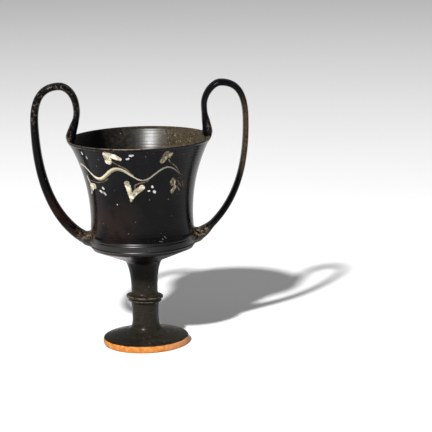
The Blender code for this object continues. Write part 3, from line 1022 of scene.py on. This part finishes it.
def painted_vine(shade, wall, up, wear, coarse_wear):
    """Mask and colour of the vine: a wave round the bowl, its width and tint set by tables."""
    phase = shade.minus(wall.side_turn, VINE_TROUGH)
    phase = shade.times(phase, 2.0 * math.pi / VINE_PERIOD)
    middle = shade.scaled(shade.math("COSINE", phase), -VINE_SWING, VINE_HEIGHT)
    slope = shade.times(shade.math("SINE", phase), VINE_SLOPE)
    lean = shade.math("SQRT", shade.scaled(slope, slope, 1.0))
    above = shade.math("DIVIDE", shade.minus(up, middle), lean)
    along = shade.scaled(wall.side_turn, 1.0 / 180.0, 0.5)
    widths = [((turn + 90.0) / 180.0, (half / 3.0,) * 3) for turn, half in VINE_HALF_WIDTHS]
    half_width = shade.times(shade.ramp(along, widths), 3.0)
    reach = shade.minus(half_width, shade.math("ABSOLUTE", above))
    mask = shade.times(shade.step(reach, -0.16, 0.22), shade.step(half_width, 0.05, 0.35))
    kept = shade.step(shade.scaled(coarse_wear, 0.4, wear), 0.42, 0.60)
    mask = shade.times(mask, shade.scaled(kept, 0.45, 0.55))
    tints = [((turn + 90.0) / 180.0, screen_colour(*tint)) for turn, tint in VINE_TINTS]
    thick = shade.step(half_width, 0.9, 1.5)
    lower_half = shade.times(shade.step(above, 0.35, -0.6), thick)
    return mask, shade.lay(shade.ramp(along, tints), lower_half, 0.8, "vine_shadow")


def painted_strokes(shade, layer, across, up, wear, coarse_wear):
    """Mask and colour of one layer of STROKES."""
    reach = strokes(shade, across, up, layer["strokes"])
    mask = shade.step(reach, -layer["edge"], layer["edge"])
    holes = shade.step(wear, layer["wear"] - 0.07, layer["wear"] + 0.07)
    mask = shade.times(mask, shade.scaled(holes, 1.0 - layer["kept"], layer["kept"]))
    dark, light = screen_colour(*layer["worn_tint"]), screen_colour(*layer["tint"])
    return mask, shade.blend(shade.step(coarse_wear, 0.42, 0.62), dark, light)


def paint(shade, wall, ground, wall_out, inside):
    """Lays the vine, stems, leaves and berries over the ground colour. Returns colour and cover."""
    rough_across = shade.minus(shade.noise(wall.place, 900.0, 2.0), 0.5)
    rough_up = shade.minus(shade.noise(wall.place, 1100.0, 2.0), 0.5)
    across = shade.scaled(rough_across, 1.5, shade.times(wall.side_turn, PAINT_MM_PER_DEGREE))
    up = shade.scaled(rough_up, 1.5, wall.height)
    wear = shade.noise(wall.place, 520.0, 4.0, 0.7)
    coarse_wear = shade.noise(wall.place, 170.0, 3.0, 0.6)
    outside = shade.times(shade.step(wall.radius, 40.0, 44.0), shade.minus(1.0, inside))
    outside = shade.times(outside, shade.step(shade.minus(wall.radius, wall_out), 1.6, 0.9))

    vine = painted_vine(shade, wall, up, wear, coarse_wear)
    colour, cover = ground, None
    for name in PAINT_ORDER:
        if name == "vine":
            mask, tint = vine
        else:
            mask, tint = painted_strokes(shade, STROKES[name], across, up, wear, coarse_wear)
        mask = shade.times(mask, outside)
        colour = shade.blend(mask, colour, tint)
        cover = mask if cover is None else shade.larger(cover, mask)
    return colour, cover


class Grain:
    """The noises that the glaze, the stains and the wear share."""

    def __init__(self, shade, wall):
        self.cloud = shade.noise(wall.place, 45.0, 4.0, 0.6)
        self.mottle = shade.noise(wall.place, 260.0, 4.0, 0.65)
        turned = shade.join(shade.times(wall.height, 0.9), shade.times(wall.turn, 0.006), 0.0)
        self.lines = shade.noise(turned, 2.2, 3.0, 0.7)
        self.flecks = shade.noise(wall.place, 620.0, 4.0, 0.7)
        self.smears = shade.scaled(self.mottle, 0.65, shade.times(self.flecks, 0.35))
        self.fine = shade.noise(wall.place, 1500.0, 2.0, 0.6)


def black_ground(shade, wall, grain, stem):
    """Black gloss with brown tinges and a painted bluish reflection on the bowl, duller and greenish on
    stem and foot.
    """
    high = wall.height
    base = shade.two_tints(shade.step(grain.cloud, 0.38, 0.66), "gloss_dark", "gloss_light")
    left, low = shade.step(wall.x, 0.012, -0.045), shade.step(high, 158.0, 118.0)
    brown = shade.times(left, low, shade.step(grain.cloud, 0.35, 0.6))
    base = shade.lay(base, brown, 0.85, "gloss_brown")
    # Painted bluish reflection on the upper wall.
    blue = shade.times(shade.step(high, 140.0, 175.0), shade.step(grain.mottle, 0.4, 0.7))
    base = shade.lay(base, blue, 0.7, "painted_blue_reflection")
    streaks = shade.scaled(grain.lines, 0.6, shade.times(grain.mottle, 0.4))
    # The upper stem, under the bowl, is painted darker as shade; the lighter olive of the lower stem and
    # foot is partly a painted reflection of the floor.
    shaded_upper_stem = shade.two_tints(shade.step(streaks, 0.38, 0.64), "upper_stem_shade_dark", "upper_stem_shade_light")
    stem_low = shade.two_tints(shade.step(streaks, 0.36, 0.64), "stem_low_dark", "stem_low_light")
    stem_tint = shade.blend(shade.step(high, 68.0, 46.0), shaded_upper_stem, stem_low)
    foot_left = shade.times(shade.step(high, 14.0, 12.0), shade.step(wall.x, 0.002, -0.016))
    stem_tint = shade.lay(stem_tint, foot_left, 0.6, "foot_left")
    base = shade.blend(stem, base, stem_tint)
    base = shade.lay(base, shade.step(grain.lines, 0.56, 0.75), 0.18, "turning_line")
    # Painted reflection of the lit floor, pale on the left of the bowl's underside.
    underside_reflection = shade.band(high, *UNDERSIDE_HEIGHTS, 1.6)
    reach = shade.step(wall.radius, 17.0, 22.0)
    underside_reflection = shade.times(underside_reflection, shade.step(wall.x, -0.008, -0.030), reach)
    return shade.lay(base, underside_reflection, 0.85, "underside_reflection")


def wall_outside(shade, wall):
    """Outside radius of the bowl wall at each height, in mm."""
    rise = shade.minus(wall.height, WAIST_HEIGHT * 1000.0)
    rise = shade.math("DIVIDE", rise, (LIP_HEIGHT - WAIST_HEIGHT) * 1000.0, clamp=True)
    spread = (LIP_RADIUS - LIP_BEAD_OVERHANG * 0.5 - WAIST_RADIUS) * 1000.0
    return shade.scaled(shade.math("POWER", rise, WALL_FLARE_POWER), spread, WAIST_RADIUS * 1000.0)


def bowl_inside(shade, wall, wall_out):
    """1 on the inside of the bowl."""
    behind_wall = shade.step(shade.minus(wall_out, wall.radius), 1.2, 1.9)
    under_lip = shade.step(wall.height, LIP_MM + 0.4, LIP_MM - 0.6)
    return shade.times(behind_wall, shade.step(wall.height, 92.0, 95.0), under_lip)


def inside_stains(shade, wall, grain, inside, shaded_left_inside, base):
    """The inside is dull, painted darker on the left as shade, and stained on the right."""
    dull = shade.two_tints(shade.step(grain.mottle, 0.35, 0.7), "inside_dark", "inside_light")
    base = shade.blend(shade.times(inside, 0.85), base, dull)
    # Painted shade on the left of the inside.
    base = shade.lay(base, shaded_left_inside, 0.85, "painted_shade_inside")
    stained_side = shade.times(shade.step(wall.x, -0.012, 0.044), inside)
    stain = shade.times(shade.scaled(shade.step(grain.flecks, 0.40, 0.64), 0.6, 0.25), stained_side)
    base = shade.lay(base, stain, 0.75, "stain")
    spots = shade.specks(wall.place, 420.0, 0.34)
    crust = shade.times(spots, stained_side, shade.step(grain.mottle, 0.42, 0.62))
    return shade.lay(base, crust, 0.4, "crust"), stain


def handle_soil(shade, wall, grain, side, colour):
    """Soil that lies where the handles leave the wall and the lip."""
    near_root = shade.band(wall.height, *ROOT_SOIL_HEIGHTS, 3.0)
    near_root = shade.times(near_root, shade.step(side, 0.041, 0.047), shade.step(side, 0.063, 0.054))
    near_lip = shade.band(wall.height, *LIP_SOIL_HEIGHTS, 4.0)
    near_lip = shade.times(near_lip, shade.step(side, 0.060, 0.064), shade.step(side, 0.078, 0.074))
    soil = shade.times(shade.larger(near_root, near_lip), shade.step(grain.smears, 0.47, 0.60))
    patches = shade.times(near_lip, shade.step(grain.mottle, 0.44, 0.56))
    soil = shade.larger(soil, shade.times(patches, 0.9))
    tint = shade.two_tints(shade.step(grain.mottle, 0.42, 0.62), "soil_dark", "soil_light")
    return shade.blend(shade.times(soil, 0.46), colour, tint), soil


def wear_and_painted_light(shade, wall, grain, cover, colour):
    """Painted sheen on the right limb; wear with painted highlights on the left arch, the ring and the
    lip; the faded leaf and pale scuffs.
    """
    # Painted sheen on the lit face of the right handle's limb.
    limb = shade.band(wall.height, *RIGHT_LIMB_HEIGHTS, 16.0)
    limb = shade.times(limb, shade.step(wall.x, 0.088, 0.095), shade.step(grain.flecks, 0.30, 0.62))
    colour = shade.lay(colour, limb, 0.5, "painted_limb_sheen")

    # Wear and painted highlights on the top of the left handle's arch.
    arch = shade.band(wall.height, *LEFT_ARCH_HEIGHTS, 8.0)
    arch = shade.times(arch, shade.step(wall.x, -0.048, -0.056), shade.step(grain.smears, 0.50, 0.66))
    colour = shade.lay(colour, arch, 0.38, "arch_wear_and_highlight")

    leaf = shade.band(wall.side_turn, *FADED_LEAF_TURNS, 4.0)
    leaf_heights = shade.band(wall.height, *FADED_LEAF_HEIGHTS, 4.0)
    leaf = shade.times(leaf, leaf_heights, shade.specks(wall.place, 480.0, 0.36))
    colour = shade.lay(colour, leaf, 0.5, "faded_leaf")

    # Wear and a painted highlight along the upper slopes of the ring's ridges.
    ring_high = shade.scaled(wall.x, 1000.0 * RING_TILT, wall.height)
    upper, lower = UPPER_RIDGE_HEIGHT * 1000.0, LOWER_RIDGE_HEIGHT * 1000.0
    upper_edge = shade.band(ring_high, upper + 0.4, upper + 1.0, 0.3)
    lower_edge = shade.band(ring_high, lower + 0.2, lower + 0.6, 0.25)
    ring = shade.times(shade.larger(upper_edge, lower_edge), shade.step(grain.mottle, 0.34, 0.60))
    colour = shade.lay(colour, ring, 0.5, "ring_wear_and_highlight")

    scuffs = shade.times(shade.specks(wall.place, 150.0, 0.11), shade.step(grain.cloud, 0.42, 0.58))
    small = shade.times(shade.specks(wall.place, 520.0, 0.16), shade.step(grain.mottle, 0.55, 0.7))
    scuffs = shade.times(shade.larger(scuffs, shade.times(small, 0.6)), shade.minus(1.0, cover))
    colour = shade.lay(colour, scuffs, 0.36, "scuff")

    # Wear round the lip, with a painted highlight that is stronger at the front left.
    lip = shade.step(wall.height, LIP_MM - 0.8, LIP_MM - 0.4)
    lip = shade.times(lip, shade.step(wall.height, LIP_MM + 0.7, LIP_MM + 0.1))
    lip = shade.times(lip, shade.step(wall.radius, 62.6, 64.0), shade.step(wall.radius, 67.6, 66.4))
    highlit_front = shade.times(shade.band(wall.x, -0.032, 0.004, 0.010), shade.step(wall.y, 0.01, -0.02))
    lip = shade.times(lip, shade.scaled(highlit_front, 0.55, 0.32), shade.step(grain.mottle, 0.30, 0.52))
    return shade.lay(colour, lip, 1.0, "lip_wear_and_highlight")


def bare_clay(shade, wall, grain, colour):
    """Orange clay round the foot's edge and under it, where the gloss ends."""
    gloss_end = shade.scaled(grain.mottle, 0.9, FOOT_BAND_HEIGHT * 1000.0 - 1.15)
    edge = shade.times(
        shade.step(wall.radius, 36.6, 37.3),
        shade.step(shade.minus(gloss_end, wall.height), -0.12, 0.12),
    )
    under = shade.step(shade.scaled(wall.radius, 0.12, wall.height), 10.2, 9.2)
    under = shade.times(under, shade.step(wall.radius, 38.4, 37.6), shade.step(wall.height, 9.2, 8.8))
    clay = shade.larger(edge, under)
    tint = shade.two_tints(shade.step(grain.mottle, 0.3, 0.7), "clay_dark", "clay_light")
    tint = shade.lay(tint, shade.step(wall.x, 0.012, 0.034), 0.45, "clay_pale")
    tint = shade.lay(tint, shade.step(grain.fine, 0.56, 0.74), 0.35, "clay_dirt")
    return shade.blend(clay, colour, tint), clay


def glazed_clay():
    """Black gloss over orange clay, worn and stained as on the photographed cup, with shade, reflections
    and highlights painted in.
    """
    material = bpy.data.materials.new("black_gloss")
    material.use_nodes = True
    shade = Shade(material.node_tree)
    shader = material.node_tree.nodes["Principled BSDF"]
    wall = Wall(shade)
    grain = Grain(shade, wall)
    stem = shade.step(wall.height, 92.0, 84.0)
    side = shade.math("ABSOLUTE", wall.x)
    wall_out = wall_outside(shade, wall)
    inside = bowl_inside(shade, wall, wall_out)
    # Painted shade on the left of the inside, in colour and in lower gloss.
    shaded_left_inside = shade.times(inside, shade.step(wall.x, -0.008, -0.040))

    colour = black_ground(shade, wall, grain, stem)
    colour, stain = inside_stains(shade, wall, grain, inside, shaded_left_inside, colour)
    colour, cover = paint(shade, wall, colour, wall_out, inside)
    colour, soil = handle_soil(shade, wall, grain, side, colour)
    colour = wear_and_painted_light(shade, wall, grain, cover, colour)
    colour, clay = bare_clay(shade, wall, grain, colour)

    sheen = shade.scaled(shade.step(wall.x, 0.024, 0.000), 0.65, 0.35)
    rubbed = shade.times(shade.band(wall.height, *RUBBED_KEEL_HEIGHTS, 0.7), sheen)
    roughness = shade.scaled(grain.cloud, 0.14, 0.15)
    rises = ((stem, 0.06), (inside, 0.08), (rubbed, 0.13), (cover, 0.30), (soil, 0.25), (stain, 0.15))
    for mask, rise in rises:
        roughness = shade.scaled(mask, rise, roughness)
    roughness = shade.scaled(clay, 0.5, roughness, clamp=True)
    handles = shade.larger(shade.step(side, 0.066, 0.074), shade.step(wall.height, 195.0, 200.0))
    gloss = shade.scaled(inside, 0.17, 0.100)
    for mask, rise in ((shaded_left_inside, -0.22), (rubbed, 0.28), (handles, -0.055)):
        gloss = shade.scaled(mask, rise, gloss)
    gloss = shade.scaled(stem, -0.03, gloss, clamp=True)

    relief = shade.scaled(grain.lines, 0.5, shade.times(grain.mottle, 0.35))
    relief = shade.scaled(grain.fine, 0.12, relief)
    bump = shade.node("ShaderNodeBump")
    bump.inputs["Strength"].default_value = 0.35
    bump.inputs["Distance"].default_value = 0.00022
    shade.feed(bump.inputs["Height"], relief)

    shade.feed(shader.inputs["Base Color"], colour)
    shade.feed(shader.inputs["Roughness"], roughness)
    shade.feed(shader.inputs["Specular IOR Level"], gloss)
    shade.feed(shader.inputs["Normal"], bump.outputs["Normal"])
    return material


def add_floor():
    mesh = bmesh.new()
    bmesh.ops.create_grid(mesh, x_segments=1, y_segments=1, size=30.0)
    floor = as_object(mesh, "floor")
    floor.data.materials.append(plain_material("floor_paper", (0.92, 0.92, 0.92), 0.9))


def add_area_light(name, azimuth, elevation, distance, size, power):
    data = bpy.data.lights.new(name, "AREA")
    data.shape = "DISK"
    data.size = size
    data.energy = power
    lamp = bpy.data.objects.new(name, data)
    bpy.context.scene.collection.objects.link(lamp)
    target = Vector((0.0, 0.0, 0.12))
    offset = Vector((
        math.sin(azimuth) * math.cos(elevation),
        -math.cos(azimuth) * math.cos(elevation),
        math.sin(elevation),
    ))
    lamp.location = target + offset * distance
    lamp.rotation_euler = offset.to_track_quat("Z", "Y").to_euler()
    return lamp


def add_light():
    add_area_light("key", KEY_AZIMUTH, KEY_ELEVATION, KEY_DISTANCE, KEY_SIZE, KEY_POWER)
    add_area_light("fill", math.radians(60.0), math.radians(40.0), 2.5, 1.6, FILL_POWER)
    world = bpy.data.worlds.new("studio")
    world.use_nodes = True
    sky = world.node_tree.nodes["Background"]
    sky.inputs["Color"].default_value = (1.0, 1.0, 1.0, 1.0)
    sky.inputs["Strength"].default_value = SKY_STRENGTH
    bpy.context.scene.world = world


def add_camera():
    data = bpy.data.cameras.new("camera")
    data.sensor_width = SENSOR_MM
    data.sensor_fit = "HORIZONTAL"
    data.lens = FOCAL_PIXELS / FRAME_PIXELS * SENSOR_MM
    camera = bpy.data.objects.new("camera", data)
    bpy.context.scene.collection.objects.link(camera)
    turn = Matrix((CAMERA_RIGHT, CAMERA_UP, CAMERA_BACK)).transposed()
    camera.matrix_world = Matrix.Translation(CAMERA_PLACE) @ turn.to_4x4()
    bpy.context.scene.camera = camera
    bpy.context.scene.view_settings.view_transform = "Standard"


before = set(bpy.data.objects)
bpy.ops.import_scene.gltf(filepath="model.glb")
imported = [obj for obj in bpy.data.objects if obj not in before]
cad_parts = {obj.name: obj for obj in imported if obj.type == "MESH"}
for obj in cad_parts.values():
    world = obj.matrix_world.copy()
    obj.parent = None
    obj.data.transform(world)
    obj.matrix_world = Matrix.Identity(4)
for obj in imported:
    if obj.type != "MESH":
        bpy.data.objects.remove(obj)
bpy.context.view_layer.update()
add_camera()
add_light()
add_floor()
cup = make_cup()
cup.data.materials.clear()
cup.data.materials.append(glazed_clay())
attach(cup, "root")
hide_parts("kantharos")
